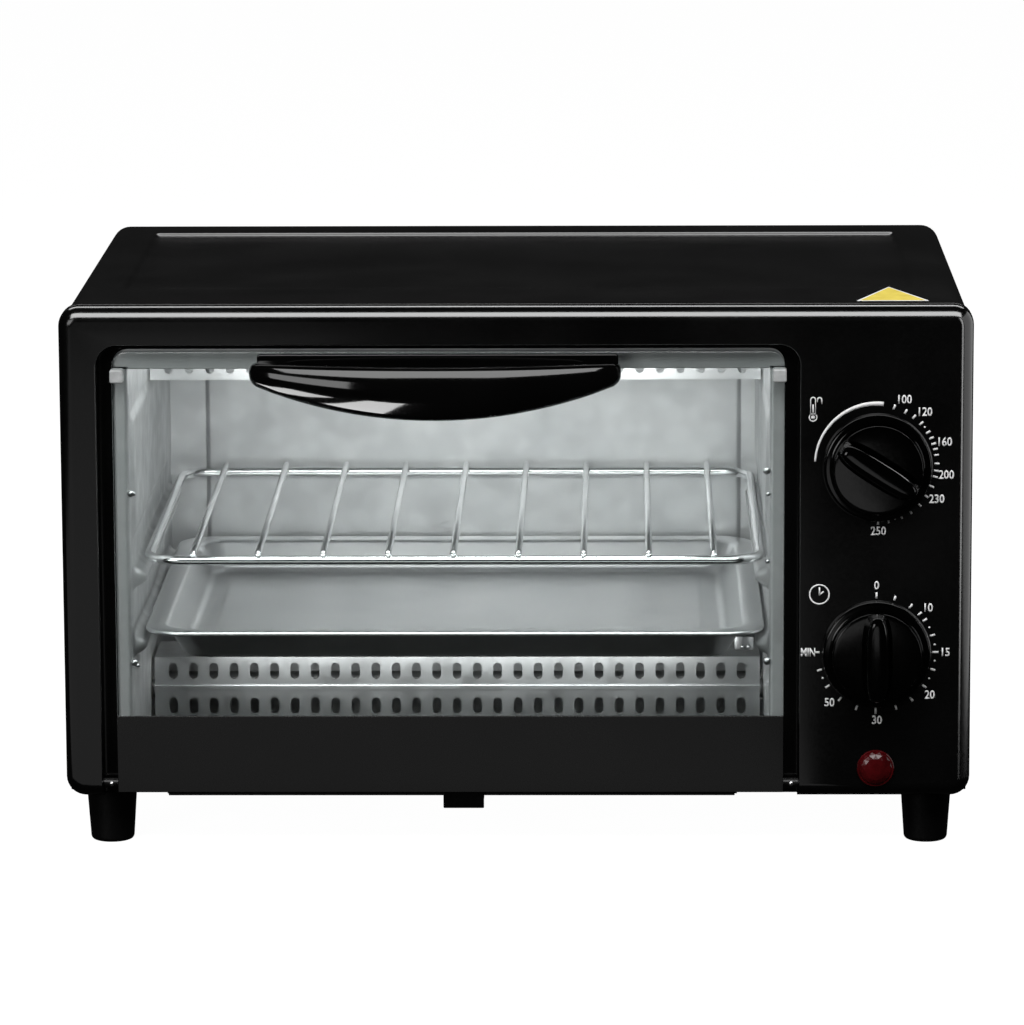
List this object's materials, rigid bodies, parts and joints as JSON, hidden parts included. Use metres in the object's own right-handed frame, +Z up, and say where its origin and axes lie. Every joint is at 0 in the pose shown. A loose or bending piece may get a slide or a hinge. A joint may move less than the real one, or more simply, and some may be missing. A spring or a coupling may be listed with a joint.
{
  "type": "toaster oven",
  "caption": "Compact black toaster oven: drop-down glass door with a bowed handle, two dial knobs, wire rack, baking tray and a crumb tray that slides out under the base.",
  "frame": {"origin": "middle of the whole object's outline in X and Y, on the surface that the feet stand on", "axes": "+X to the right seen from the front, along the longest side; +Y from the door to the back; +Z up"},
  "size_m": [0.365, 0.274, 0.223],
  "materials": {
    "frame_black": "satin moulded black frame",
    "cover_black": "satin black baked enamel on pressed steel",
    "galvanised": "dull galvanised sheet",
    "cavity_steel": "aluminised steel sheet, slightly mottled",
    "foot_black": "satin black moulded foot",
    "screw_steel": "bright zinc plating",
    "element_steel": "heat-dulled metal sheath",
    "ceramic": "off-white glazed ceramic",
    "control_case": "cream moulded case",
    "lamp_glass": "small neon lamp",
    "lens_red": "deep red faceted lens",
    "wiring": "silicone-sleeved leads",
    "gland_black": "satin black gland",
    "label_yellow": "blank printed label",
    "glass": "clear tempered glass",
    "band_black": "satin black enamel",
    "hinge_steel": "plated steel",
    "handle_black": "polished black moulding",
    "silicone": "translucent white silicone",
    "knob_black": "glossy black moulding",
    "rack_chrome": "bright chromed wire",
    "tray_metal": "bright pressed tray",
    "spring_steel": "bright spring wire"
  },
  "bodies": {
    "chassis": {"front_bezel": "frame_black", "top_cover": "cover_black", "rear_panel": "cover_black", "base_plate": "galvanised", "foot_front_left": "foot_black", "foot_front_right": "foot_black", "foot_rear_left": "foot_black", "foot_rear_right": "foot_black", "foot_screws": "screw_steel", "cavity_left_wall": "cavity_steel", "cavity_right_wall": "cavity_steel", "cavity_roof": "cavity_steel", "cavity_back": "cavity_steel", "lower_guard": "cavity_steel", "upper_guard": "cavity_steel", "lower_element_front": "element_steel", "lower_element_rear": "element_steel", "upper_element_front": "element_steel", "upper_element_rear": "element_steel", "element_bushes": "ceramic", "control_bracket": "galvanised", "control_screws": "screw_steel", "thermostat_body": "control_case", "timer_body": "galvanised", "timer_bell": "screw_steel", "neon_lamp": "lamp_glass", "indicator_lens": "lens_red", "terminal_block": "control_case", "internal_wiring": "wiring", "cord_gland": "gland_black", "rear_screws": "screw_steel", "blank_label": "label_yellow", "door_spring_left": "spring_steel", "door_spring_right": "spring_steel"},
    "door": {"door_glass": "glass", "door_band": "band_black", "door_inner_strip": "band_black", "hinge_arm_left": "hinge_steel", "hinge_arm_right": "hinge_steel", "hinge_pin_left": "screw_steel", "hinge_pin_right": "screw_steel", "door_handle": "handle_black", "handle_screws": "screw_steel", "handle_washers": "silicone", "door_bumper_left": "silicone", "door_bumper_right": "silicone"},
    "temp_control": {"temp_knob": "knob_black", "thermostat_shaft": "hinge_steel"},
    "timer_control": {"timer_knob": "knob_black", "timer_shaft": "hinge_steel"},
    "rack": {"wire_rack": "rack_chrome"},
    "tray": {"baking_tray": "tray_metal"},
    "crumb_drawer": {"crumb_tray": "galvanised", "crumb_tray_pull": "band_black"}
  },
  "joints": [
    {"name": "door_hinge", "type": "hinge", "parent": "chassis", "child": "door", "pos_m": [-0.027, -0.112, 0.028], "axis": [1, 0, 0], "range_deg": [0, 90], "stiffness_Nm_per_rad": 0.15, "springref_deg": -68.75, "deforming": ["door_spring_left", "door_spring_right"]},
    {"name": "rack_slide", "type": "slide", "parent": "chassis", "child": "rack", "axis": [0, -1, 0], "range_m": [0, 0.134]},
    {"name": "tray_slide", "type": "slide", "parent": "chassis", "child": "tray", "axis": [0, -1, 0], "range_m": [0, 0.087]},
    {"name": "crumb_tray_slide", "type": "slide", "parent": "chassis", "child": "crumb_drawer", "axis": [0, -1, 0], "range_m": [0, 0.14]},
    {"name": "temp_knob_turn", "type": "hinge", "parent": "chassis", "child": "temp_control", "pos_m": [0.1443, -0.117, 0.1583], "axis": [0, 1, 0], "range_deg": [-211, 59]},
    {"name": "timer_knob_turn", "type": "hinge", "parent": "chassis", "child": "timer_control", "pos_m": [0.1443, -0.117, 0.0823], "axis": [0, 1, 0], "range_deg": [0, 270]}
  ],
  "couplings": [
    {"joint": "rack_slide", "follows": "door_hinge", "m_per_rad": 0.085},
    {"joint": "tray_slide", "follows": "door_hinge", "m_per_rad": 0.055}
  ]
}
